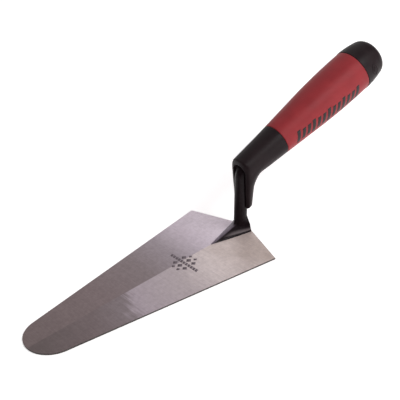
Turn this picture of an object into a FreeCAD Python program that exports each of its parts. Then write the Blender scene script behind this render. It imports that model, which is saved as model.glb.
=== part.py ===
import FreeCAD, Part
import math
import os
import Sketcher

# Round-nosed trowel with a flat blade, a cranked shank and a moulded handle.
# Row frame: X runs along the blade towards its nose, Z is up and the blade's flat
# underside is Z = 0.  The origin is where the post's axis meets the underside.
# Handle frame: its origin is where the post's and the handle's axes cross, and its
# own Z runs along the handle towards the butt.

SIZES = [
    # blade, seen from above
    ("blade_length", 178.0),
    ("blade_width", 86.0),
    ("heel_reach", 6.0),
    ("heel_depth", 13.4),
    ("nose_radius", 19.1),
    # blade thickness, on the middle ridge and at the half width
    ("ridge_heel", 1.3),
    ("ridge_nose", 1.05),
    ("edge_heel", 0.95),
    ("edge_nose", 0.85),
    # post, bend and tang
    ("post_radius", 4.45),
    ("rod_start", 2.0),
    ("post_lean", 7.6),
    ("bend_height", 44.3),
    ("bend_radius", 9.0),
    ("handle_pitch", 16.8),
    ("tang_reach", 80.0),
    ("tang_end_radius", 2.2),
    ("tang_shoulder", 20.0),
    # foot of the shank: a low base from level 0 to level 1, and the shaped top that
    # starts inside the base at level 2 and runs over the shoulder, 3, into the post, 4
    ("foot_level_0", 0.8),
    ("foot_level_1", 2.6),
    ("foot_level_2", 1.7),
    ("foot_level_3", 6.1),
    ("foot_level_4", 11.0),
    ("foot_tip_0", 28.0),
    ("foot_tip_1", 21.0),
    ("foot_tip_2", 24.2),
    ("foot_tip_3", 5.3),
    ("foot_tip_half_0", 0.7),
    ("foot_tip_half_1", 0.7),
    ("foot_tip_half_2", 0.7),
    ("foot_tip_half_3", 1.3),
    ("foot_tip_back_0", 1.2),
    ("foot_tip_back_1", 1.2),
    ("foot_tip_back_2", 1.2),
    ("foot_tip_back_3", 1.6),
    ("foot_corner_back_0", 2.6),
    ("foot_corner_back_1", 2.7),
    ("foot_corner_back_2", 2.5),
    ("foot_corner_back_3", 3.1),
    ("foot_corner_half_0", 9.0),
    ("foot_corner_half_1", 8.8),
    ("foot_corner_half_2", 8.7),
    ("foot_corner_half_3", 7.7),
    ("foot_rear_0", 5.3),
    ("foot_rear_1", 5.4),
    ("foot_rear_2", 5.2),
    ("foot_rear_3", 5.6),
    ("foot_side_bulge_0", 0.4),
    ("foot_side_bulge_1", 0.3),
    ("foot_side_bulge_2", 0.2),
    ("foot_side_bulge_3", 0.1),
    # handle, as distances along its axis and radii there
    ("neck_start", -5.0),
    ("neck_seam", 33.7),
    ("grip_swell", 62.0),
    ("grip_middle", 88.0),
    ("grip_end", 111.6),
    ("cap_corner", 125.6),
    ("cap_shoulder_end", 131.8),
    ("cap_end", 134.1),
    ("neck_start_radius", 9.0),
    ("neck_middle", 16.0),
    ("neck_middle_radius", 10.15),
    ("neck_seam_radius", 11.4),
    ("grip_swell_radius", 13.66),
    ("grip_middle_radius", 15.15),
    ("grip_end_radius", 15.33),
    ("seat_front_radius", 8.4),
    ("seat_rear_radius", 12.2),
    ("spigot_radius", 11.0),
    ("spigot_end", 122.0),
    ("cap_start_radius", 15.6),
    ("cap_side", 119.0),
    ("cap_side_radius", 15.05),
    ("cap_corner_radius", 13.9),
    ("cap_round", 129.2),
    ("cap_round_radius", 12.6),
    ("cap_shoulder_radius", 9.5),
    ("cap_dome", 133.35),
    ("cap_dome_radius", 5.6),
    ("cap_hollow_end", 128.5),
    ("cap_hollow_radius", 8.0),
    ("cap_flat_radius", 1.2),
    ("core_hollow_start", 84.0),
    ("core_hollow_radius", 8.0),
    # finger guard below the neck: bend centre, inner radius, and its round sections
    ("guard_bend_x", -24.9),
    ("guard_bend_z", 26.05),
    ("guard_bend_radius", 12.9),
    ("guard_tip_start", 18.2),
    ("guard_tip_radius", 5.8),
    ("guard_tip_bow", 18.75),
    ("guard_tip_bow_radius", 7.15),
    ("guard_end", 20.2),
    ("guard_end_radius", 7.8),
    ("guard_low", 23.5),
    ("guard_low_radius", 8.0),
    ("guard_radius_1", 8.2),
    ("guard_radius_2", 8.8),
    ("guard_radius_3", 9.4),
    ("guard_radius_4", 9.85),
    ("guard_turn_1", 4.0),
    ("guard_turn_2", 26.0),
    ("guard_turn_3", 50.0),
    ("guard_turn_4", 73.2),
    # hood's flat front and the arched recess that the post stands in
    ("front_x", -3.0),
    ("front_tilt", 2.0),
    ("front_height", 45.0),
    ("front_bow_radius", 20.0),
    ("front_reach", 9.0),
    ("cutter_size", 120.0),
    ("recess_radius", 4.6),
    ("arch_foot_height", 8.0),
    ("arch_shoulder", 42.0),
    ("arch_crown", 49.3),
    ("arch_half_low", 4.6),
    ("arch_half_high", 5.4),
    ("arch_depth", 14.0),
]

# Direction of the points where the blade's nose runs into its sides, before the plan
# sketch's tangents settle it.
NOSE_TOUCH_ANGLE = 80
# Directions on the post's circle that the foot's outline joins: two rear corners with
# the rear's middle between them, and the two corners and middle of the tip, with the
# middles of the two sides between.
POST_ANGLES = (115, 180, 245, 300, 345, 0, 15, 60)
# The level where the foot has turned into the post.
POST_LEVEL = 4
LOW_GUARD_PARTS = ("end", "low")
GUARD_SECTIONS = 6

doc = FreeCAD.newDocument("trowel")
sheet = doc.addObject("Spreadsheet::Sheet", "sizes")
for row, (alias, number) in enumerate(SIZES, start=1):
    sheet.set(f"A{row}", alias)
    sheet.set(f"B{row}", str(number))
    sheet.setAlias(f"B{row}", alias)
doc.recompute()


def size(alias):
    """Value of one cell; a leading minus sign gives its negative."""
    if alias.startswith("-"):
        return -float(sheet.get(alias[1:]))
    return float(sheet.get(alias))


def cell(alias):
    """Expression that reads the same cell."""
    if alias.startswith("-"):
        return f"-sizes.{alias[1:]}"
    return f"sizes.{alias}"


def new_body(label):
    body = doc.addObject("PartDesign::Body", label)
    body.Label = label
    return body


def origin_plane(body, role):
    for feature in body.Origin.OriginFeatures:
        if feature.Role == role:
            return feature
    raise ValueError(role)


def new_sketch(body, name, role):
    sketch = body.newObject("Sketcher::SketchObject", name)
    sketch.AttachmentSupport = [(origin_plane(body, role), "")]
    sketch.MapMode = "FlatFace"
    return sketch


def pin(sketch, geometry, vertex, x, y):
    """Hold one sketch point at two cells; 0 keeps it on an axis of the sketch."""
    for kind, amount, axis in (("DistanceX", x, -2), ("DistanceY", y, -1)):
        if amount == 0:
            sketch.addConstraint(Sketcher.Constraint("PointOnObject", geometry, vertex, axis))
            continue
        held = Sketcher.Constraint(kind, -1, 1, geometry, vertex, size(amount))
        number = sketch.addConstraint(held)
        sketch.setExpression(f"Constraints[{number}]", cell(amount))


def spot(x, y):
    return FreeCAD.Vector(0 if x == 0 else size(x), 0 if y == 0 else size(y), 0)


def closed_outline(sketch, corners, bows):
    """Closed outline through corners; bows gives a point that an arced side passes."""
    count = len(corners)
    for number, corner in enumerate(corners):
        start = spot(*corner)
        end = spot(*corners[(number + 1) % count])
        if number in bows:
            side = Part.Arc(start, spot(*bows[number]), end)
        else:
            side = Part.LineSegment(start, end)
        sketch.addGeometry(side, False)
    ends = []
    for number, corner in enumerate(corners):
        start = spot(*corner)
        first = (sketch.getPoint(number, 1) - start).Length < 1e-6
        ends.append((1, 2) if first else (2, 1))
    for number in range(count):
        following = (number + 1) % count
        joint = (number, ends[number][1], following, ends[following][0])
        sketch.addConstraint(Sketcher.Constraint("Coincident", *joint))
    for number, corner in enumerate(corners):
        pin(sketch, number, ends[number][0], *corner)
    for number, bow in bows.items():
        marker = sketch.addGeometry(Part.Point(spot(*bow)), True)
        pin(sketch, marker, 1, *bow)
        sketch.addConstraint(Sketcher.Constraint("PointOnObject", marker, 1, number))


def round_section(sketch, radius):
    circle = Part.Circle(FreeCAD.Vector(0, 0, 0), FreeCAD.Vector(0, 0, 1), size(radius))
    sketch.addGeometry(circle, False)
    sketch.addConstraint(Sketcher.Constraint("Coincident", 0, 3, -1, 1))
    number = sketch.addConstraint(Sketcher.Constraint("Radius", 0, size(radius)))
    sketch.setExpression(f"Constraints[{number}]", cell(radius))


def offset(sketch, x="0", z="0", turn="0"):
    """Move a sketch off its origin plane and turn it about Y."""
    sketch.AttachmentOffset = FreeCAD.Placement(
        FreeCAD.Vector(0, 0, 0), FreeCAD.Rotation(FreeCAD.Vector(0, 1, 0), 1.0))
    sketch.setExpression("AttachmentOffset.Base.x", x)
    sketch.setExpression("AttachmentOffset.Base.z", z)
    sketch.setExpression("AttachmentOffset.Rotation.Angle", turn)


def revolved(body, name, corners, bows):
    """Turn a radius-against-distance outline about the body's own Z axis."""
    sketch = new_sketch(body, name + "_outline", "XZ_Plane")
    closed_outline(sketch, corners, bows)
    turned = body.newObject("PartDesign::Revolution", name)
    turned.Profile = sketch
    turned.ReferenceAxis = (sketch, ["V_Axis"])
    turned.Angle = 360
    doc.recompute()
    return turned


def lofted(body, name, sections, ruled=False):
    loft = body.newObject("PartDesign::AdditiveLoft", name)
    loft.Ruled = ruled
    loft.Profile = sections[0]
    loft.Sections = sections[1:]
    doc.recompute()
    return loft


def place_on_handle(thing):
    """Put a piece drawn in the handle frame where the handle is."""
    thing.Placement = FreeCAD.Placement(
        FreeCAD.Vector(0, 0, 0), FreeCAD.Rotation(FreeCAD.Vector(0, 1, 0), -1.0))
    thing.setExpression("Placement.Base.x", "-sizes.bend_height * tan(sizes.post_lean * 1 deg)")
    thing.setExpression("Placement.Base.z", "sizes.bend_height")
    thing.setExpression("Placement.Rotation.Angle", "sizes.handle_pitch - 90")


def boolean(kind, label, base, tool):
    result = doc.addObject("Part::" + kind, label)
    result.Label = label
    result.Base = base
    result.Tool = tool
    doc.recompute()
    return result


def blade_outline():
    """Straight-sided plan with a round nose and a shallow pointed heel."""
    body = new_body("blade_plan")
    sketch = new_sketch(body, "plan", "XY_Plane")
    half = size("blade_width") / 2
    apex = -size("heel_reach")
    corner = apex + size("heel_depth")
    centre = apex + size("blade_length") - size("nose_radius")
    slope = math.radians(NOSE_TOUCH_ANGLE)
    reach = size("nose_radius")
    touch_x = centre + reach * math.cos(slope)
    touch_y = reach * math.sin(slope)

    def line(x1, y1, x2, y2):
        ends = (FreeCAD.Vector(x1, y1, 0), FreeCAD.Vector(x2, y2, 0))
        sketch.addGeometry(Part.LineSegment(*ends), False)

    line(apex, 0, corner, half)
    line(corner, half, touch_x, touch_y)
    circle = Part.Circle(FreeCAD.Vector(centre, 0, 0), FreeCAD.Vector(0, 0, 1), reach)
    sketch.addGeometry(Part.ArcOfCircle(circle, -slope, slope), False)
    line(touch_x, -touch_y, corner, -half)
    line(corner, -half, apex, 0)
    add = sketch.addConstraint
    add(Sketcher.Constraint("Coincident", 0, 2, 1, 1))
    add(Sketcher.Constraint("Tangent", 1, 2, 2, 2))
    add(Sketcher.Constraint("Tangent", 2, 1, 3, 1))
    add(Sketcher.Constraint("Coincident", 3, 2, 4, 1))
    add(Sketcher.Constraint("Coincident", 4, 2, 0, 1))
    add(Sketcher.Constraint("PointOnObject", 0, 1, -1))
    add(Sketcher.Constraint("PointOnObject", 2, 3, -1))
    held = [
        ("DistanceX", (-1, 1, 0, 1), apex, "-sizes.heel_reach"),
        ("DistanceX", (-1, 1, 0, 2), corner, "sizes.heel_depth - sizes.heel_reach"),
        ("DistanceX", (-1, 1, 4, 1), corner, "sizes.heel_depth - sizes.heel_reach"),
        ("DistanceY", (-1, 1, 0, 2), half, "sizes.blade_width / 2"),
        ("DistanceY", (-1, 1, 4, 1), -half, "-sizes.blade_width / 2"),
        ("DistanceX", (-1, 1, 2, 3), centre,
         "sizes.blade_length - sizes.heel_reach - sizes.nose_radius"),
        ("Radius", (2,), reach, "sizes.nose_radius"),
    ]
    for kind, points, value, expression in held:
        number = add(Sketcher.Constraint(kind, *points, value))
        sketch.setExpression(f"Constraints[{number}]", expression)
    pad = body.newObject("PartDesign::Pad", "plan_pad")
    pad.Profile = sketch
    pad.setExpression("Length", "sizes.ridge_heel")
    doc.recompute()
    return body


def blade_roof():
    """Long low ridge: two roof-shaped sections, thicker at the heel than at the nose."""
    body = new_body("blade_ridge")
    sections = []
    for place, ridge, edge in (("-sizes.heel_reach", "ridge_heel", "edge_heel"),
                               ("sizes.blade_length - sizes.heel_reach", "ridge_nose", "edge_nose")):
        sketch = new_sketch(body, "section_" + edge, "YZ_Plane")
        sketch.AttachmentOffset = FreeCAD.Placement()
        sketch.setExpression("AttachmentOffset.Base.z", place)
        half = size("blade_width") / 2
        corners = [(-half, 0), (half, 0), (half, size(edge)), (0, size(ridge)), (-half, size(edge))]
        count = len(corners)
        for number in range(count):
            ends = [FreeCAD.Vector(*corners[k % count], 0) for k in (number, number + 1)]
            sketch.addGeometry(Part.LineSegment(*ends), False)
        for number in range(count):
            joint = (number, 2, (number + 1) % count, 1)
            sketch.addConstraint(Sketcher.Constraint("Coincident", *joint))
        heights = ("0", "0", cell(edge), cell(ridge), cell(edge))
        widths = ("-sizes.blade_width / 2", "sizes.blade_width / 2", "sizes.blade_width / 2",
                  "0", "-sizes.blade_width / 2")
        for number, corner in enumerate(corners):
            for kind, value, expression in (("DistanceX", corner[0], widths[number]),
                                            ("DistanceY", corner[1], heights[number])):
                held = Sketcher.Constraint(kind, -1, 1, number, 1, value)
                index = sketch.addConstraint(held)
                if expression != "0":
                    sketch.setExpression(f"Constraints[{index}]", expression)
        sections.append(sketch)
    lofted(body, "ridge_loft", sections, ruled=True)
    return body


def make_blade():
    return boolean("Common", "blade", blade_outline(), blade_roof())


def foot_section(body, level):
    """One level of the foot: bowed rear, nearly straight sides, narrow tip; top: round."""
    sketch = new_sketch(body, f"foot_{level}", "XY_Plane")
    lean = f"-sizes.foot_level_{level} * tan(sizes.post_lean * 1 deg)"
    if level == POST_LEVEL:
        offset(sketch, lean, f"sizes.foot_level_{level}")
        turns = [math.radians(angle) for angle in POST_ANGLES]
        radius = size("post_radius")
        outline = [(radius * math.cos(turn), radius * math.sin(turn)) for turn in turns]
    else:
        offset(sketch, "0", f"sizes.foot_level_{level}")
        back = -size(f"foot_corner_back_{level}")
        half = size(f"foot_corner_half_{level}")
        rear = -size(f"foot_rear_{level}")
        tip = size(f"foot_tip_{level}")
        tip_x = tip - size(f"foot_tip_back_{level}")
        tip_half = size(f"foot_tip_half_{level}")
        middle_x = (back + tip_x) / 2
        middle_y = (half + tip_half) / 2 + size(f"foot_side_bulge_{level}")
        outline = [(back, half), (rear, 0), (back, -half), (middle_x, -middle_y),
                   (tip_x, -tip_half), (tip, 0), (tip_x, tip_half), (middle_x, middle_y)]
    points = [FreeCAD.Vector(*place, 0) for place in outline]
    sides = [(0, 1, 2), (2, 3, 4), (4, 5, 6), (6, 7, 0)]
    for first, through, last in sides:
        sketch.addGeometry(Part.Arc(points[first], points[through], points[last]), False)
    return sketch


def post_path(body):
    """Centre line of the rod: up the leaning post, round the bend, along the handle."""
    sketch = new_sketch(body, "rod_path", "XZ_Plane")
    lean = math.radians(size("post_lean"))
    pitch = math.radians(size("handle_pitch"))
    bend = FreeCAD.Vector(-size("bend_height") * math.tan(lean), size("bend_height"), 0)
    up = FreeCAD.Vector(-math.sin(lean), math.cos(lean), 0)
    along = FreeCAD.Vector(-math.cos(pitch), math.sin(pitch), 0)
    turn = up.getAngle(along)
    setback = size("bend_radius") * math.tan(turn / 2)
    start = up * size("rod_start")
    rise_end = bend - up * setback
    run_start = bend + along * setback
    inward = (along - up).normalize()
    middle = bend + inward * (size("bend_radius") / math.cos(turn / 2) - size("bend_radius"))
    end = bend + along * size("tang_shoulder")
    sketch.addGeometry(Part.LineSegment(start, rise_end), False)
    sketch.addGeometry(Part.Arc(rise_end, middle, run_start), False)
    sketch.addGeometry(Part.LineSegment(run_start, end), False)
    return sketch


def make_shank():
    """Forged foot and bent rod in one piece, with a tapered tang inside the handle."""
    base = new_body("foot_base")
    lofted(base, "base_loft", [foot_section(base, level) for level in (0, 1)])
    foot = new_body("foot")
    levels = (2, 3, POST_LEVEL)
    lofted(foot, "foot_loft", [foot_section(foot, level) for level in levels], ruled=True)
    rod = new_body("rod")
    profile = new_sketch(rod, "rod_section", "XY_Plane")
    offset(profile, "-sizes.rod_start * sin(sizes.post_lean * 1 deg)",
           "sizes.rod_start * cos(sizes.post_lean * 1 deg)", "-sizes.post_lean")
    round_section(profile, "post_radius")
    path = post_path(rod)
    pipe = rod.newObject("PartDesign::AdditivePipe", "rod_pipe")
    pipe.Profile = profile
    pipe.Spine = (path, [])
    doc.recompute()
    tang = new_body("tang")
    revolved(tang, "tang_turned", [
        (0, "tang_shoulder"), ("post_radius", "tang_shoulder"),
        ("tang_end_radius", "tang_reach"), (0, "tang_reach")], {})
    place_on_handle(tang)
    doc.recompute()
    return base, foot, rod, tang


def fused(label, shapes):
    result = doc.addObject("Part::MultiFuse", label)
    result.Label = label
    result.Shapes = shapes
    result.Refine = True
    doc.recompute()
    return result


def make_neck():
    """Turned inside of the handle: neck, seat under the sleeve, spigot for the cap."""
    neck = new_body("neck")
    revolved(neck, "neck_turned", [
        (0, "neck_start"), ("neck_start_radius", "neck_start"),
        ("neck_seam_radius", "neck_seam"), ("seat_front_radius", "neck_seam"),
        ("seat_rear_radius", "grip_end"), ("spigot_radius", "grip_end"),
        ("spigot_radius", "spigot_end"), ("core_hollow_radius", "spigot_end"),
        ("core_hollow_radius", "core_hollow_start"), (0, "core_hollow_start"),
    ], {1: ("neck_middle_radius", "neck_middle")})
    place_on_handle(neck)
    doc.recompute()
    return neck


def guard_section(body, number):
    """Round sections: two low ones square to the post, the others round the bend."""
    if number < len(LOW_GUARD_PARTS):
        part = LOW_GUARD_PARTS[number]
        sketch = new_sketch(body, f"guard_{part}", "XY_Plane")
        offset(sketch, f"-sizes.guard_{part} * sin(sizes.post_lean * 1 deg)",
               f"sizes.guard_{part} * cos(sizes.post_lean * 1 deg)", "-sizes.post_lean")
        round_section(sketch, f"guard_{part}_radius")
        return sketch
    step = number - len(LOW_GUARD_PARTS) + 1
    sketch = new_sketch(body, f"guard_turned_{step}", "XY_Plane")
    turn = f"sizes.guard_turn_{step}"
    reach = f"(sizes.guard_bend_radius + sizes.guard_radius_{step})"
    offset(sketch, f"sizes.guard_bend_x + {reach} * cos({turn} * 1 deg)",
           f"sizes.guard_bend_z + {reach} * sin({turn} * 1 deg)", f"-{turn}")
    round_section(sketch, f"guard_radius_{step}")
    return sketch


def place_on_post(thing):
    """Put a piece drawn in the post's frame where the leaning post is."""
    thing.Placement = FreeCAD.Placement(
        FreeCAD.Vector(0, 0, 0), FreeCAD.Rotation(FreeCAD.Vector(0, 1, 0), -1.0))
    thing.setExpression("Placement.Rotation.Angle", "-sizes.post_lean")


def make_guard_tip():
    """Rounded lower end of the finger guard."""
    tip = new_body("guard_tip")
    revolved(tip, "tip_turned", [
        (0, "guard_tip_start"), ("guard_tip_radius", "guard_tip_start"),
        ("guard_end_radius", "guard_end"), (0, "guard_end"),
    ], {1: ("guard_tip_bow_radius", "guard_tip_bow")})
    place_on_post(tip)
    doc.recompute()
    return tip


def front_height_x(back):
    """Expression for the front's X at ground level, moved back by so much."""
    return f"sizes.front_x + sizes.front_height * tan(sizes.front_tilt * 1 deg) - {back}"


def lean_with_front(thing):
    """Tilt a piece as the hood's front is tilted."""
    thing.Placement = FreeCAD.Placement(
        FreeCAD.Vector(0, 0, 0), FreeCAD.Rotation(FreeCAD.Vector(0, 1, 0), -1.0))
    thing.setExpression("Placement.Rotation.Angle", "-sizes.front_tilt")


def make_front_cutter():
    """Block in front of the hood, hollowed so that it leaves a slightly bowed front."""
    block = doc.addObject("Part::Box", "front_block")
    for edge in ("Length", "Width", "Height"):
        block.setExpression(edge, "sizes.cutter_size")
    lean_with_front(block)
    block.setExpression("Placement.Base.x", front_height_x("sizes.front_reach"))
    block.setExpression("Placement.Base.y", "-sizes.cutter_size / 2")
    bow = doc.addObject("Part::Cylinder", "front_bow")
    bow.setExpression("Radius", "sizes.front_bow_radius")
    bow.setExpression("Height", "sizes.cutter_size")
    lean_with_front(bow)
    bow.setExpression("Placement.Base.x", front_height_x("sizes.front_bow_radius"))
    return boolean("Cut", "front_cutter", block, bow)


def make_recess():
    """Arched pocket that opens forwards, with a round channel behind the post."""
    pocket = new_body("arch_pocket")
    sketch = new_sketch(pocket, "arch", "YZ_Plane")
    closed_outline(sketch, [
        ("-arch_half_low", "arch_foot_height"), ("arch_half_low", "arch_foot_height"),
        ("arch_half_high", "arch_shoulder"), ("-arch_half_high", "arch_shoulder"),
    ], {2: (0, "arch_crown")})
    pad = pocket.newObject("PartDesign::Pad", "arch_pad")
    pad.Profile = sketch
    pad.setExpression("Length", "sizes.arch_depth")
    channel = doc.addObject("Part::Cylinder", "post_channel")
    channel.setExpression("Radius", "sizes.recess_radius")
    channel.setExpression("Height", "sizes.arch_shoulder")
    place_on_post(pocket)
    place_on_post(channel)
    doc.recompute()
    return fused("recess", [pocket, channel])


def make_handle_core(shank):
    guard = new_body("guard")
    lofted(guard, "guard_loft", [guard_section(guard, number) for number in range(GUARD_SECTIONS)])
    whole = fused("core_form", [make_neck(), guard, make_guard_tip()])
    flat = boolean("Cut", "core_flat_front", whole, make_front_cutter())
    open_front = boolean("Cut", "core_recessed", flat, make_recess())
    return boolean("Cut", "handle_core", open_front, shank)


def make_grip_sleeve():
    """Soft sleeve: flared front, swelling middle, slight draw-in at the butt."""
    sleeve = new_body("grip_sleeve")
    revolved(sleeve, "sleeve_turned", [
        ("seat_front_radius", "neck_seam"), ("neck_seam_radius", "neck_seam"),
        ("grip_swell_radius", "grip_swell"), ("grip_end_radius", "grip_end"),
        ("seat_rear_radius", "grip_end"),
    ], {2: ("grip_middle_radius", "grip_middle")})
    place_on_handle(sleeve)
    doc.recompute()
    return sleeve


def make_butt_cap():
    """Hard cap: a cup over the spigot, with a rounded shoulder and a shallow dome."""
    cap = new_body("butt_cap")
    revolved(cap, "cap_turned", [
        ("spigot_radius", "grip_end"), ("cap_start_radius", "grip_end"),
        ("cap_corner_radius", "cap_corner"), ("cap_shoulder_radius", "cap_shoulder_end"),
        ("cap_flat_radius", "cap_end"), (0, "cap_end"), (0, "cap_hollow_end"),
        ("cap_hollow_radius", "cap_hollow_end"), ("cap_hollow_radius", "spigot_end"),
        ("spigot_radius", "spigot_end"),
    ], {1: ("cap_side_radius", "cap_side"), 2: ("cap_round_radius", "cap_round"),
        3: ("cap_dome_radius", "cap_dome")})
    place_on_handle(cap)
    doc.recompute()
    return cap


def check_document():
    for item in doc.Objects:
        if "Invalid" in item.State or "Error" in item.State:
            raise RuntimeError(f"{item.Label} failed: {item.State}")


def write_parts(pieces):
    os.makedirs("parts", exist_ok=True)
    for piece in pieces:
        shape = piece.Shape
        if shape.isNull() or not shape.isValid() or len(shape.Solids) != 1:
            raise RuntimeError(f"{piece.Label} isn't one valid solid")
        shape.exportStep(f"parts/{piece.Label}.step")
        centre = shape.Solids[0].CenterOfMass
        box = shape.optimalBoundingBox()
        print(f"{piece.Label}: {shape.Volume / 1000:.2f} cm3, centre "
              f"({centre.x:.1f}, {centre.y:.1f}, {centre.z:.1f}), "
              f"x {box.XMin:.1f}..{box.XMax:.1f}, y {box.YMin:.1f}..{box.YMax:.1f}, "
              f"z {box.ZMin:.1f}..{box.ZMax:.1f}")


blade = make_blade()
shank = boolean("Cut", "shank", fused("shank_form", list(make_shank())), blade)
core = make_handle_core(shank)
pieces = [blade, shank, core, make_grip_sleeve(), make_butt_cap()]
doc.recompute()
check_document()
write_parts(pieces)
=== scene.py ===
"""Looks of a round-nosed masonry trowel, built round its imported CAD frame.

Metres in the row frame: X runs along the blade to its nose, Z is up, and the camera
stands on the +Y side.  Sizes are written in millimetres times MM.
"""

import math

import bmesh
import bpy
import numpy as np
from mathutils import Matrix, Vector


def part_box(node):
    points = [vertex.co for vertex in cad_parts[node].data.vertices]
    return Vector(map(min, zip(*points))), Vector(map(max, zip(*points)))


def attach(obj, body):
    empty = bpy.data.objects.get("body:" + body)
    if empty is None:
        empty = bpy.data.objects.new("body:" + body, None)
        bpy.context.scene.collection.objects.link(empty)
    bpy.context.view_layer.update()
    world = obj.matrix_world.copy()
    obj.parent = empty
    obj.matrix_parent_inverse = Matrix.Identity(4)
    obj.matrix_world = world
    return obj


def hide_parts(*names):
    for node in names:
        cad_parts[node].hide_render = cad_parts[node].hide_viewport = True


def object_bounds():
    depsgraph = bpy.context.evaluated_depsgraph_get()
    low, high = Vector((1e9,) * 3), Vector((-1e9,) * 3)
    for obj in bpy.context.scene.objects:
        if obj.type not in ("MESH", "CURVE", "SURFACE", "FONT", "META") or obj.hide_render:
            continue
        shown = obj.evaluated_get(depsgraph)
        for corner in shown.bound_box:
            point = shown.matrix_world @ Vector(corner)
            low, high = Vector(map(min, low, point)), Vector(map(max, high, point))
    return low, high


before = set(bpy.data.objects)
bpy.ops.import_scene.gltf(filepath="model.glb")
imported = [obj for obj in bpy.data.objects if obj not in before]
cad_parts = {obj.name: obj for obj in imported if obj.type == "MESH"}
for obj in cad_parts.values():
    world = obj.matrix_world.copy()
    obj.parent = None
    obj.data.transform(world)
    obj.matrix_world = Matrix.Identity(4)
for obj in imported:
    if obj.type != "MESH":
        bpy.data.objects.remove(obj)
cad_low, cad_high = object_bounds()

MM = 0.001
POST_LEAN = math.radians(7.6)
HANDLE_PITCH = math.radians(16.8)
BEND_HEIGHT = 44.3 * MM

HANDLE_ORIGIN = Vector((-BEND_HEIGHT * math.tan(POST_LEAN), 0, BEND_HEIGHT))
HANDLE_AXIS = Vector((-math.cos(HANDLE_PITCH), 0, math.sin(HANDLE_PITCH)))
HANDLE_UP = Vector((math.sin(HANDLE_PITCH), 0, math.cos(HANDLE_PITCH)))
HANDLE_SIDE = Vector((0, 1, 0))
POST_AXIS = Vector((-math.sin(POST_LEAN), 0, math.cos(POST_LEAN)))

# centre of the finger guard's bend in X and Z, in millimetres
BEND_CENTRE = (-24.9, 26.05)
# where the blade's heel and nose are along X, in millimetres
BLADE_SPAN = (-6.0, 172.0)
# heights of the blade's middle ridge and side edges at heel and nose, in millimetres
RIDGE_HEIGHTS = (1.3, 1.05)
EDGE_HEIGHTS = (0.95, 0.85)
# stations of the handle: distance along its axis and radius, in millimetres
NECK_SEAM = (33.7, 11.4)
GRIP_SWELL = (62.0, 13.66)
GRIP_MIDDLE = (88.0, 15.15)
GRIP_END = (111.6, 15.33)
SEAT_FRONT_RADIUS = 8.4
SEAT_REAR_RADIUS = 12.2
CAP_START = (111.6, 15.6)
CAP_SIDE = (119.0, 15.05)
CAP_CORNER = (125.6, 13.9)
CAP_ROUND = (129.2, 12.6)
CAP_SHOULDER = (131.8, 9.5)
CAP_DOME = (133.35, 5.6)
CAP_TOP = (134.1, 1.2)
SPIGOT_RADIUS = 11.0
SPIGOT_END = 122.0
CAP_HOLLOW_END = 128.5
CAP_HOLLOW_RADIUS = 8.0

# sockets of a Mix node in its colour mode, where two pairs share the same names
MIX_FACTOR, MIX_FIRST, MIX_SECOND, MIX_RESULT = 0, 6, 7, 2
WHITE = (1, 1, 1, 1)


# ---------------------------------------------------------------- camera, light, floor

def place_camera():
    """Camera that sees the blade's outline as the photo does."""
    angles_in_degrees = (53.5, 32.088, -6.552)
    azimuth, elevation, roll = map(math.radians, angles_in_degrees)
    distance = 779.25 * MM
    target = Vector((-6.05, -49.86, 0)) * MM
    sensor_width, lens, clip_start = 36, 98.1, 0.01
    back = Vector((math.cos(azimuth) * math.cos(elevation),
                   math.sin(azimuth) * math.cos(elevation), math.sin(elevation)))
    level_right = Vector((-math.sin(azimuth), math.cos(azimuth), 0))
    level_up = back.cross(level_right)
    right = level_right * math.cos(roll) + level_up * math.sin(roll)
    up = level_up * math.cos(roll) - level_right * math.sin(roll)
    data = bpy.data.cameras.new("camera")
    data.sensor_width = sensor_width
    data.lens = lens
    data.clip_start = clip_start
    camera = bpy.data.objects.new("camera", data)
    turn = Matrix((right, up, back)).transposed().to_4x4()
    camera.matrix_world = Matrix.Translation(target + back * distance) @ turn
    bpy.context.scene.collection.objects.link(camera)
    bpy.context.scene.camera = camera


def soft_light(name, position, aim, size, power):
    """Rectangular white lamp that faces a point; metres and watts."""
    data = bpy.data.lights.new(name, "AREA")
    data.shape = "RECTANGLE"
    data.size, data.size_y = size
    data.energy = power
    lamp = bpy.data.objects.new(name, data)
    facing = (Vector(aim) - Vector(position)).to_track_quat("-Z", "Y")
    lamp.matrix_world = Matrix.Translation(position) @ facing.to_matrix().to_4x4()
    lamp.visible_camera = False
    bpy.context.scene.collection.objects.link(lamp)


def light_studio():
    """Broad light from above, and two weaker ones from the camera's side on the handle."""
    bpy.context.scene.view_settings.view_transform = "Standard"
    handle_middle = (-0.08, 0, 0.06)
    soft_light("overhead", (0.15, -0.1, 1.5), (0, 0, 0), (1.5, 1.5), 2.5)
    soft_light("near_side", (-0.36, 0.75, 0.85), handle_middle, (0.7, 0.5), 6.8)
    soft_light("low_side", (-0.45, 0.95, 0.16), handle_middle, (0.9, 0.5), 3.2)
    light_room()


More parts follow.
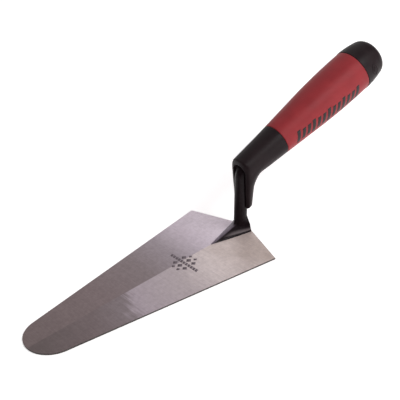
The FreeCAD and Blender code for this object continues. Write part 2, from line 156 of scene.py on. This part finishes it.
def light_room():
    """Dim room with a broad pale panel behind the trowel; the camera itself sees white."""
    panel_side = (-0.434, -0.695, 0.574)
    panel_edge = (0.60, 0.80)
    dim, pale = (0.20, 0.165, 0.17, 1), (0.75, 0.75, 0.75, 1)
    world = bpy.data.worlds.new("studio")
    bpy.context.scene.world = world
    world.use_nodes = True
    tree = world.node_tree
    link = tree.links.new
    direction = tree.nodes.new("ShaderNodeTexCoord").outputs["Generated"]
    facing = tree.nodes.new("ShaderNodeVectorMath")
    facing.operation = "DOT_PRODUCT"
    facing.inputs[1].default_value = panel_side
    link(direction, facing.inputs[0])
    edge = tree.nodes.new("ShaderNodeMapRange")
    edge.inputs["From Min"].default_value, edge.inputs["From Max"].default_value = panel_edge
    link(facing.outputs["Value"], edge.inputs["Value"])
    room = tree.nodes.new("ShaderNodeMix")
    room.data_type = "RGBA"
    room.inputs[MIX_FIRST].default_value = dim
    room.inputs[MIX_SECOND].default_value = pale
    link(edge.outputs[0], room.inputs[MIX_FACTOR])
    link(room.outputs[MIX_RESULT], tree.nodes["Background"].inputs["Color"])
    seen = tree.nodes.new("ShaderNodeBackground")
    seen.inputs["Color"].default_value = WHITE
    rays = tree.nodes.new("ShaderNodeLightPath")
    mix = tree.nodes.new("ShaderNodeMixShader")
    link(rays.outputs["Is Camera Ray"], mix.inputs[0])
    link(tree.nodes["Background"].outputs[0], mix.inputs[1])
    link(seen.outputs[0], mix.inputs[2])
    link(mix.outputs[0], tree.nodes["World Output"].inputs["Surface"])


def lay_floor():
    """White ground a hair below the trowel, with a little light of its own."""
    reach, gap = 6.0, 0.02 * MM
    mesh = bpy.data.meshes.new("floor")
    corners = [(-reach, -reach, 0), (reach, -reach, 0), (reach, reach, 0), (-reach, reach, 0)]
    mesh.from_pydata(corners, [], [(0, 1, 2, 3)])
    floor = bpy.data.objects.new("floor", mesh)
    bpy.context.scene.collection.objects.link(floor)
    look = Look("floor_white", {"Base Color": (0.93, 0.93, 0.93, 1), "Roughness": 0.9,
                                "Emission Color": WHITE, "Emission Strength": 0.5})
    mesh.materials.append(look.material)
    floor.location.z = cad_low.z - gap


# ---------------------------------------------------------------- materials

class Look:
    """One procedural material on a Principled shader, with short ways to add nodes."""

    def __init__(self, name, sockets):
        self.material = bpy.data.materials.new(name)
        self.material.use_nodes = True
        self.tree = self.material.node_tree
        self.shader = self.tree.nodes["Principled BSDF"]
        for socket, value in sockets.items():
            self.shader.inputs[socket].default_value = value
        self.place = self.add("ShaderNodeTexCoord").outputs["Object"]

    def add(self, kind, inputs=None, **settings):
        node = self.tree.nodes.new(kind)
        for key, value in settings.items():
            setattr(node, key, value)
        for socket, value in (inputs or {}).items():
            if isinstance(value, bpy.types.NodeSocket):
                self.tree.links.new(value, node.inputs[socket])
            else:
                node.inputs[socket].default_value = value
        return node

    def noise(self, scale, detail=2.0, roughness=0.5, turn=(0, 0, 0)):
        """Noise between 0 and 1; scale is cycles per metre, one number for each axis."""
        place = self.add("ShaderNodeMapping", {
            "Vector": self.place, "Rotation": turn, "Scale": scale}).outputs[0]
        return self.add("ShaderNodeTexNoise", {
            "Vector": place, "Scale": 1.0, "Detail": detail,
            "Roughness": roughness}).outputs["Fac"]

    def ramp(self, value, low, high, start, end):
        """Clamped straight change from start to end as value goes from low to high."""
        return self.add("ShaderNodeMapRange", {
            "Value": value, "From Min": low, "From Max": high,
            "To Min": start, "To Max": end}, clamp=True).outputs[0]

    def stops(self, value, span, colours):
        """Colour that runs through stops, each a place in millimetres and its colour."""
        low, high = span
        node = self.add("ShaderNodeValToRGB", {
            0: self.ramp(value, low * MM, high * MM, 0, 1)})
        elements = node.color_ramp.elements
        while len(elements) < len(colours):
            elements.new(0.5)
        for element, (place, colour) in zip(elements, colours):
            element.position = (place - low) / (high - low)
            element.color = (*colour, 1)
        return node.outputs[0]

    def blend(self, factor, first, second, kind="MIX"):
        """Colour between two colours, or their product where kind is MULTIPLY."""
        node = self.add("ShaderNodeMix", {
            MIX_FACTOR: factor, MIX_FIRST: first, MIX_SECOND: second},
            data_type="RGBA", blend_type=kind)
        return node.outputs[MIX_RESULT]

    def multiply(self, first, second):
        """Product of two colours."""
        return self.blend(1.0, first, second, "MULTIPLY")

    def number(self, operation, first, second):
        """Result of one step of arithmetic, such as ADD, on two numbers."""
        return self.add("ShaderNodeMath", {0: first, 1: second}, operation=operation).outputs[0]

    def set(self, socket, output):
        """Link an output to one of the shader's sockets."""
        self.tree.links.new(output, self.shader.inputs[socket])

    def bump(self, height, depth, normal=None):
        """Bump whose full height is depth metres."""
        inputs = {"Height": height, "Distance": depth, "Strength": 1.0}
        if normal is not None:
            inputs["Normal"] = normal
        return self.add("ShaderNodeBump", inputs).outputs[0]


def even(amount):
    """The same number for each axis."""
    return (amount, amount, amount)


def ground_steel():
    """Cross-ground plate whose colour is painted reflection: bright at the heel and dull
    towards the nose, facet by facet, in place of the pale panel's reflection.
    """
    look = Look("ground_steel", {"Specular IOR Level": 0.2})
    place = look.add("ShaderNodeSeparateXYZ", {0: look.place})
    along, side = place.outputs[0], place.outputs[1]
    # painted reflection on the far facet, light at the heel and dark towards the nose
    far = look.stops(along, BLADE_SPAN, [
        (8, (0.93, 0.83, 0.92)), (28, (0.71, 0.62, 0.70)), (50, (0.41, 0.35, 0.385)),
        (75, (0.295, 0.24, 0.25)), (110, (0.26, 0.20, 0.205)), (165, (0.215, 0.165, 0.165))])

    # the boundaries of the near facet's painted reflection end in streaks, and bend back
    # towards the side edge
    streak_reach, bend_reach = 3.5 * MM, 8 * MM
    bend_start, bend_end = 2 * MM, 18 * MM
    streaks = look.noise((700, 45, 700), 3.0, 0.6, (0, 0, math.radians(-6)))
    drift = look.ramp(streaks, 0.3, 0.7, -streak_reach, streak_reach)
    drifted = look.number("ADD", along, drift)
    bend = look.ramp(side, bend_start, bend_end, 0, bend_reach)
    bent = look.number("SUBTRACT", drifted, bend)
    near = look.stops(bent, BLADE_SPAN, [
        (4, (0.76, 0.65, 0.61)), (34, (0.80, 0.70, 0.69)), (58, (0.57, 0.49, 0.51)),
        (94, (0.50, 0.42, 0.47)), (102, (0.285, 0.235, 0.25)), (125, (0.225, 0.175, 0.18)),
        (165, (0.165, 0.13, 0.13))])
    # the two facets' painted reflection colours meet at the ridge
    ridge_half_width = 0.25 * MM
    facet = look.ramp(side, -ridge_half_width, ridge_half_width, 0, 1)
    painted_reflection_zones = look.blend(facet, far, near)

    # brownish blotches on the near facet towards the heel
    heel_brown = (0.46, 0.36, 0.30, 1)
    heel_blotch_noise = look.noise((55, 30, 55), 2.0, 0.5)
    heel = look.ramp(along, 14 * MM, 46 * MM, 0.4, 0.0)
    patches = look.number("MULTIPLY", look.ramp(heel_blotch_noise, 0.42, 0.66, 0, 1), heel)
    painted_reflection_zones = look.blend(look.number("MULTIPLY", patches, facet), painted_reflection_zones, heel_brown)

    # fine grinding marks and specks
    mark_grey, speck_grey = (0.90, 0.90, 0.90, 1), (0.87, 0.86, 0.86, 1)
    across = look.noise((2600, 60, 2600), 3.0, 0.6, (0, 0, math.radians(4)))
    marks = look.blend(look.ramp(across, 0.38, 0.62, 0, 1), mark_grey, WHITE)
    speckle = look.noise(even(420), 4.0, 0.65)
    specks = look.blend(look.ramp(speckle, 0.36, 0.64, 0, 1), speck_grey, WHITE)
    look.set("Base Color", look.multiply(look.multiply(painted_reflection_zones, marks), specks))
    look.set("Metallic", look.ramp(along, 25 * MM, 80 * MM, 0.25, 0.75))
    cloud = look.noise(even(38), 3.0, 0.55)
    look.set("Roughness", look.ramp(cloud, 0.3, 0.7, 0.33, 0.40))
    look.set("Normal", look.bump(across, 0.0012 * MM))
    return look.material


def shaded_rim_steel():
    """Darker, rougher rim of the plate: its near-black colour is painted shade."""
    look = Look("shaded_rim_steel", {"Metallic": 1.0, "Roughness": 0.5})
    dark, bright = (0.05, 0.044, 0.042, 1), (0.11, 0.098, 0.093, 1)
    upright = look.noise((900, 900, 60), 3.0, 0.6)
    look.set("Base Color", look.blend(look.ramp(upright, 0.35, 0.65, 0, 1), dark, bright))
    return look.material


def black_lacquer():
    """Lacquer on the forging, with a painted reflection on its foot's far facet and a painted
    highlight along the foot's near edge.
    """
    look = Look("black_lacquer", {"Roughness": 0.34, "Specular IOR Level": 0.14})
    deep, faded = (0.0055, 0.0016, 0.0028, 1), (0.014, 0.0085, 0.011, 1)
    # colours of the painted reflection on the foot's far facet and of the painted highlight on
    # its near edge
    far_reflection_low, far_reflection_high = (0.15, 0.12, 0.155, 1), (0.21, 0.175, 0.215, 1)
    highlight_grey = (0.16, 0.135, 0.14, 1)
    forged = look.noise(even(330), 3.0, 0.55)
    patches = look.noise(even(900), 3.0, 0.6)
    black = look.blend(look.ramp(patches, 0.45, 0.72, 0, 1), deep, faded)
    place = look.add("ShaderNodeSeparateXYZ", {0: look.place})
    side, height = place.outputs[1], place.outputs[2]

    # painted reflection on the far facet of the foot, up to where the post starts
    far = look.number("MULTIPLY", look.ramp(side, 0.3 * MM, 1.3 * MM, 1, 0),
                      look.ramp(height, 5.5 * MM, 7.5 * MM, 1, 0))
    painted_far_reflection = look.blend(look.ramp(forged, 0.35, 0.65, 0, 1), far_reflection_low, far_reflection_high)

    # painted highlight along the near edge of the foot, just above the lip that rests on the
    # blade
    near = look.number("MULTIPLY", look.ramp(side, 1.5 * MM, 3.5 * MM, 0, 1),
                       look.ramp(height, 2.5 * MM, 2.8 * MM, 0, 1))
    painted_highlight = look.number("MULTIPLY", near, look.ramp(height, 3.2 * MM, 4.6 * MM, 0.75, 0))
    look.set("Base Color", look.blend(painted_highlight, look.blend(far, black, painted_far_reflection), highlight_grey))
    look.set("Roughness", look.ramp(forged, 0.35, 0.65, 0.28, 0.42))
    fine = look.bump(patches, 0.02 * MM)
    look.set("Normal", look.bump(forged, 0.16 * MM, fine))
    return look.material


def hard_black_plastic(name):
    """Fine-grained hard plastic of the core and the cap."""
    look = Look(name, {"Roughness": 0.45, "Specular IOR Level": 0.15})
    deep, pale = (0.0085, 0.0035, 0.0048, 1), (0.0135, 0.0070, 0.0085, 1)
    grain = look.noise(even(3200), 2.0, 0.6)
    cloud = look.noise(even(120), 3.0, 0.5)
    look.set("Base Color", look.blend(look.ramp(cloud, 0.35, 0.65, 0, 1), deep, pale))
    look.set("Roughness", look.ramp(cloud, 0.35, 0.65, 0.40, 0.48))
    look.set("Normal", look.bump(grain, 0.02 * MM))
    return look.material


def soft_red_grip():
    """Soft red rubber with a faint pink sheen."""
    look = Look("soft_red_grip", {"Roughness": 0.48, "Specular IOR Level": 0.18,
                                  "Sheen Weight": 0.1, "Sheen Roughness": 0.4,
                                  "Sheen Tint": (1.0, 0.75, 0.78, 1)})
    deep, pale = (0.25, 0.021, 0.026, 1), (0.29, 0.026, 0.031, 1)
    grain = look.noise(even(2600), 2.0, 0.6)
    cloud = look.noise(even(90), 3.0, 0.5)
    look.set("Base Color", look.blend(look.ramp(cloud, 0.35, 0.65, 0, 1), deep, pale))
    look.set("Roughness", look.ramp(cloud, 0.35, 0.65, 0.44, 0.52))
    look.set("Normal", look.bump(grain, 0.018 * MM))
    return look.material


def mark_ink(name, colour, roughness):
    """Thin printed or etched film, slightly uneven."""
    look = Look(name, {"Roughness": roughness, "Specular IOR Level": 0.3})
    patchy = look.noise(even(1500), 3.0, 0.6)
    thin_gain = 1.7
    full, thin = (*colour, 1), (*(part * thin_gain for part in colour), 1)
    look.set("Base Color", look.blend(look.ramp(patchy, 0.4, 0.7, 0, 1), full, thin))
    return look.material


# ---------------------------------------------------------------- mesh helpers

def add_piece(name, mesh, look, slot, *stands_for):
    """Put a finished mesh in the scene as a piece of the trowel."""
    piece = bpy.data.objects.new(name, mesh)
    bpy.context.scene.collection.objects.link(piece)
    mesh.materials.clear()
    mesh.materials.append(look)
    mesh.polygons.foreach_set("material_index", [0] * len(mesh.polygons))
    mesh.polygons.foreach_set("use_smooth", [True] * len(mesh.polygons))
    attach(piece, "root")
    if stands_for:
        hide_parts(*stands_for)


def mesh_of(form, name):
    """Named mesh of a bmesh, which is freed."""
    mesh = bpy.data.meshes.new(name)
    form.to_mesh(mesh)
    form.free()
    return mesh


def welded_copy(node):
    """The CAD node's mesh as a bmesh, with its split points joined again."""
    form = bmesh.new()
    form.from_mesh(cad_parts[node].data)
    bmesh.ops.remove_doubles(form, verts=form.verts, dist=0.002 * MM)
    return form


def remeshed(node, pitch):
    """Closed mesh of a CAD node, in even cells of one pitch."""
    rough = mesh_of(welded_copy(node), node + "_rough")
    holder = bpy.data.objects.new(node + "_rough", rough)
    bpy.context.scene.collection.objects.link(holder)
    cells = holder.modifiers.new("cells", "REMESH")
    cells.mode = "VOXEL"
    cells.voxel_size = pitch
    graph = bpy.context.evaluated_depsgraph_get()
    mesh = bpy.data.meshes.new_from_object(holder.evaluated_get(graph))
    bpy.data.objects.remove(holder)
    bpy.data.meshes.remove(rough)
    return mesh


def points_of(mesh):
    """The mesh's points, one in each row."""
    flat = np.empty(len(mesh.vertices) * 3)
    mesh.vertices.foreach_get("co", flat)
    return flat.reshape(-1, 3)


def relax(mesh, weights, rounds):
    """Move each point towards the middle of its neighbours, as far as its weight says."""
    pairs = np.empty(len(mesh.edges) * 2, dtype=int)
    mesh.edges.foreach_get("vertices", pairs)
    first, second = pairs.reshape(-1, 2).T
    count = len(mesh.vertices)
    share = np.bincount(first, minlength=count) + np.bincount(second, minlength=count)
    points = points_of(mesh)
    for _ in range(rounds):
        middle = np.empty_like(points)
        for axis in range(3):
            column = points[:, axis]
            total = np.bincount(first, column[second], count)
            total += np.bincount(second, column[first], count)
            middle[:, axis] = total / share
        points += (middle - points) * weights[:, None]
    mesh.vertices.foreach_set("co", points.ravel())
    mesh.update()


def soften(mesh, rounds):
    """Relax the whole mesh evenly."""
    relax(mesh, np.full(len(mesh.vertices), 0.5), rounds)


def arc(start, through, end, steps):
    """Points along the circle through three points, without the last one."""
    (ax, ay), (bx, by), (cx, cy) = start, through, end
    d = 2 * (ax * (by - cy) + bx * (cy - ay) + cx * (ay - by))
    a2, b2, c2 = ax * ax + ay * ay, bx * bx + by * by, cx * cx + cy * cy
    mx = (a2 * (by - cy) + b2 * (cy - ay) + c2 * (ay - by)) / d
    my = (a2 * (cx - bx) + b2 * (ax - cx) + c2 * (bx - ax)) / d
    radius = math.hypot(ax - mx, ay - my)
    angles = [math.atan2(y - my, x - mx) for x, y in (start, end)]
    sweep = (angles[1] - angles[0] + math.pi) % (2 * math.pi) - math.pi
    return [(mx + radius * math.cos(angles[0] + sweep * k / steps),
             my + radius * math.sin(angles[0] + sweep * k / steps)) for k in range(steps)]


def straight(start, end, steps):
    """Points along a straight line, without the last one."""
    return [tuple(a + (b - a) * k / steps for a, b in zip(start, end)) for k in range(steps)]


def on_handle(distance, radius, angle):
    """Point in the row frame; angle 0 is up and a quarter turn is the +Y side."""
    out = HANDLE_UP * math.cos(angle) + HANDLE_SIDE * math.sin(angle)
    return HANDLE_ORIGIN + HANDLE_AXIS * distance * MM + out * radius * MM


def turned(name, outline, segments, relief=None):
    """Closed surface turned about the handle's axis from (distance, radius) pairs."""
    form = bmesh.new()
    rings = []
    for distance, radius in outline:
        if radius == 0:
            rings.append([form.verts.new(on_handle(distance, 0, 0))])
            continue
        ring = []
        for k in range(segments):
            angle = 2 * math.pi * k / segments
            lift = relief(distance, radius, angle) if relief else 0.0
            ring.append(form.verts.new(on_handle(distance, radius + lift, angle)))
        rings.append(ring)
    closed = len(rings[0]) > 1
    spans = len(rings) if closed else len(rings) - 1
    for k in range(spans):
        one, two = rings[k], rings[(k + 1) % len(rings)]
        for j in range(segments):
            following = (j + 1) % segments
            if len(one) == 1:
                form.faces.new((one[0], two[j], two[following]))
            elif len(two) == 1:
                form.faces.new((one[j], two[0], one[following]))
            else:
                form.faces.new((one[j], two[j], two[following], one[following]))
    bmesh.ops.recalc_face_normals(form, faces=form.faces)
    return mesh_of(form, name)


# ---------------------------------------------------------------- pieces

def make_blade(look, rim_look):
    """The ground plate with its sheared edges broken by a hair's breadth."""
    flat_within, rim_over = math.radians(0.05), math.radians(40)
    bevel_width, face_tilt = 0.14 * MM, 0.97
    form = welded_copy("blade")
    bmesh.ops.dissolve_limit(form, angle_limit=flat_within, verts=form.verts, edges=form.edges)
    rims = [edge for edge in form.edges
            if len(edge.link_faces) == 2 and edge.calc_face_angle() > rim_over]
    bmesh.ops.bevel(form, geom=rims, offset=bevel_width, segments=2, profile=0.5,
                    affect="EDGES", clamp_overlap=True)
    mesh = mesh_of(form, "blade_ground")
    add_piece("blade_ground", mesh, look, "ground_steel", "blade")
    mesh.polygons.foreach_set("use_smooth", [False] * len(mesh.polygons))
    # the rim's steep faces get the near-black steel, as painted shade
    mesh.materials.append(rim_look)
    for polygon in mesh.polygons:
        polygon.material_index = int(abs(polygon.normal.z) < face_tilt)


def make_shank(look):
    """Forged foot, post and bend with soft forged edges under the lacquer."""
    mesh = remeshed("shank", 0.32 * MM)
    soften(mesh, 4)
    add_piece("shank_forged", mesh, look, "black_lacquer", "shank")


def make_core(look):
    """Moulded neck, hood and finger guard with rounded rims."""
    mesh = remeshed("handle_core", 0.4 * MM)
    soften(mesh, 6)
    round_hood(mesh)
    deepen_bend(mesh)
    add_piece("core_moulded", mesh, look, "hard_black_plastic", "handle_core")


def fade(value, start, width, least=0):
    """Weight that rises from 0 at start to 1 over width, and is never under least."""
    return np.clip((value - start) / width, least, 1)


def hump(angle, middle, width):
    """Smooth weight that is 1 at the middle angle and falls away on both sides."""
    return np.exp(-((angle - middle) / width) ** 2)


def round_hood(mesh):
    """Round the rims round the post: only outside its pocket, in front, less low down."""
    points = points_of(mesh)
    axis = np.array(POST_AXIS)
    along = points @ axis
    from_post = np.hypot(*(points - np.outer(along, axis))[:, :2].T)
    outer = fade(from_post / MM, 6.2, 1.2)
    front = fade(points[:, 0] / MM, -8.5, 2.0)
    high = fade(along / MM, 20.5, 3.0, 0.3)
    strength, rounds = 0.6, 26
    relax(mesh, strength * outer * front * high, rounds)


def deepen_bend(mesh):
    """Hollow the guard's bend a little and run it smoothly into the neck's underside."""
    depth, deepest, deep_spread, deep_reach = 0.75, 46, 20, 23.0
    smoothest, smooth_spread, smooth_reach = 64, 18, 24.5
    strength, rounds = 0.5, 90
    points = points_of(mesh)
    across_x = points[:, 0] / MM - BEND_CENTRE[0]
    across_z = points[:, 2] / MM - BEND_CENTRE[1]
    reach = np.hypot(across_x, across_z)
    turn = np.degrees(np.arctan2(across_z, across_x))
    pull = depth * hump(turn, deepest, deep_spread) * fade(-reach, -deep_reach, 5)
    points[:, 0] += pull * across_x / reach * MM
    points[:, 2] += pull * across_z / reach * MM
    mesh.vertices.foreach_set("co", points.ravel())
    near_bend = fade(-reach, -smooth_reach, 4)
    relax(mesh, strength * hump(turn, smoothest, smooth_spread) * near_bend, rounds)


def make_sleeve(look):
    """Soft sleeve with rounded lips at both ends."""
    lip, seat_gap = 0.28, 0.05
    (start, start_radius), (end, end_radius) = NECK_SEAM, GRIP_END
    lip_foot = (start, start_radius - lip)
    lip_top = (start + lip, start_radius + lip * 0.08)
    outline = [(start, SEAT_FRONT_RADIUS + seat_gap), lip_foot]
    outline += arc(lip_foot, (start + lip * 0.3, start_radius - lip * 0.29), lip_top, 5)[1:]
    outline += straight(lip_top, GRIP_SWELL, 22)
    outline += arc(GRIP_SWELL, GRIP_MIDDLE, (end - lip, end_radius), 46)
    outline += arc((end - lip, end_radius), (end - lip * 0.3, end_radius - lip * 0.3),
                   (end, end_radius - lip), 5)
    outline += [(end, end_radius - lip), (end, SEAT_REAR_RADIUS + seat_gap)]
    mesh = turned("sleeve_soft", outline, 144)
    add_piece("sleeve_soft", mesh, look, "soft_red_grip", "grip_sleeve")


def raised_lozenge(distance, radius, angle):
    """Height of the plain raised lozenge and its rim on the cap's near side, in millimetres."""
    middle, middle_angle = 119.2, math.radians(88)
    half_length, half_height, roundness = 2.7, 4.9, 1.4
    rim_place, rim_width, rim_height = 0.86, 0.14, 0.45
    core_edge, core_softness, core_height = 0.36, 0.04, 0.4
    nothing_past = 2
    if radius < CAP_CORNER[1] - 0.6 or distance < CAP_START[0] + 0.5:
        return 0.0
    across = (angle - middle_angle) * radius / half_height
    along = (distance - middle) / half_length
    reach = abs(across) ** roundness + abs(along) ** roundness
    if reach > nothing_past:
        return 0.0
    rim = math.exp(-((reach - rim_place) / rim_width) ** 2)
    core = 1.0 / (1.0 + math.exp((reach - core_edge) / core_softness))
    return rim_height * rim + core_height * core


def make_cap(look):
    """Butt cap with a broken front edge, a raised lozenge and a cup for the spigot."""
    lip = 0.35
    start, start_radius = CAP_START
    lip_foot = (start, start_radius - lip)
    lip_top = (start + lip, start_radius - 0.03)
    outer = [(start, SPIGOT_RADIUS)]
    outer += straight((start, SPIGOT_RADIUS + 1.5), lip_foot, 3)
    outer += arc(lip_foot, (start + lip * 0.3, start_radius - lip * 0.32), lip_top, 5)
    outer += arc(lip_top, CAP_SIDE, CAP_CORNER, 60)
    outer += arc(CAP_CORNER, CAP_ROUND, CAP_SHOULDER, 18)
    outer += arc(CAP_SHOULDER, CAP_DOME, CAP_TOP, 14)
    outer += [CAP_TOP, (CAP_TOP[0], 0)]
    cup = [(SPIGOT_END, SPIGOT_RADIUS), (SPIGOT_END, CAP_HOLLOW_RADIUS),
           (CAP_HOLLOW_END, CAP_HOLLOW_RADIUS), (CAP_HOLLOW_END, 0)]
    mesh = turned("cap_moulded", outer[::-1] + cup, 300, raised_lozenge)
    add_piece("cap_moulded", mesh, look, "cap_black_plastic", "butt_cap")


def grip_radius(distance):
    """Radius of the sleeve at a distance along the handle."""
    stations = [NECK_SEAM] + arc(GRIP_SWELL, GRIP_MIDDLE, GRIP_END, 30) + [GRIP_END]
    return float(np.interp(distance, *zip(*stations)))


def make_print(look):
    """Row of slanted bars printed along the near side of the sleeve, every third one taller."""
    first, pitch, count, width = 42.5, 4.6, 13, 2.9
    middle_first, middle_last, half_height, slant = 94.0, 107.0, 3.6, 1.4
    taller, growth = 1.25, 0.2
    lift, thickness = 0.035, 0.03
    columns, rows = 6, 12
    form = bmesh.new()
    for number in range(count):
        start = first + pitch * number
        share = number / (count - 1)
        middle = middle_first + (middle_last - middle_first) * share
        tall = half_height * (1.0 if number % 3 else taller) * (1 + growth * share)
        grid = []
        for row in range(rows + 1):
            up = -1 + 2 * row / rows
            line = []
            for column in range(columns + 1):
                distance = start + width * column / columns + slant * up
                radius = grip_radius(distance)
                angle = math.radians(middle) - up * tall / radius
                line.append(form.verts.new(on_handle(distance, radius + lift, angle)))
            grid.append(line)
        for row in range(rows):
            for column in range(columns):
                a, b = grid[row][column], grid[row][column + 1]
                c, d = grid[row + 1][column + 1], grid[row + 1][column]
                form.faces.new((a, b, c, d))
    solid_film(form, thickness)
    add_piece("sleeve_print", mesh_of(form, "sleeve_print"), look, "soft_red_grip")


def solid_film(form, thickness):
    """Give thin open patches a back and sides, so that they are closed."""
    bmesh.ops.recalc_face_normals(form, faces=form.faces)
    bmesh.ops.solidify(form, geom=form.faces[:] + form.edges[:] + form.verts[:],
                       thickness=thickness * MM)
    bmesh.ops.recalc_face_normals(form, faces=form.faces)


def blade_height(x, y):
    """Height of the blade's upper face, from the heights of its ridge and edges."""
    low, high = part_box("blade")
    along = (x - low.x) / (high.x - low.x)
    ridge, edge = (heel + (nose - heel) * along for heel, nose in (RIDGE_HEIGHTS, EDGE_HEIGHTS))
    return (ridge + (edge - ridge) * abs(y) / high.y) * MM


def make_etch(look):
    """Generic etched cluster: a row of short dashes across the blade inside small diamonds."""
    centre_x, centre_y = 51.5, 2.6
    lift, thickness = 0.02, 0.015
    count, pitch, half_length, half_width, slant = 11, 2.5, 1.0, 1.15, 0.4
    # each diamond's distance from the row, its place along the row and its half size
    diamonds = [(3.7, -4.6, 1.9), (3.7, 0.3, 2.1), (3.7, 5.2, 1.9),
                (7.3, -2.1, 1.4), (7.3, 2.7, 1.4)]
    form = bmesh.new()

    def patch(corners):
        places = [((centre_x + x) * MM, (centre_y + y) * MM) for x, y in corners]
        form.faces.new([form.verts.new((x, y, blade_height(x, y) + lift * MM))
                        for x, y in places])

    for number in range(count):
        y = pitch * (number - (count - 1) / 2)
        patch([(half_width, y - half_length + slant), (half_width, y + half_length + slant),
               (-half_width, y + half_length - slant), (-half_width, y - half_length - slant)])
    for away, y, half in diamonds:
        for x in (away, -away):
            patch([(x - half, y), (x, y - half), (x + half, y), (x, y + half)])
    solid_film(form, thickness)
    add_piece("blade_etch", mesh_of(form, "blade_etch"), look, "ground_steel")


place_camera()
light_studio()
lay_floor()
make_blade(ground_steel(), shaded_rim_steel())
make_shank(black_lacquer())
make_core(hard_black_plastic("hard_black_plastic"))
make_sleeve(soft_red_grip())
make_cap(hard_black_plastic("cap_black_plastic"))
make_print(mark_ink("print_black", (0.016, 0.010, 0.011), 0.5))
make_etch(mark_ink("etch_grey", (0.115, 0.092, 0.105), 0.55))
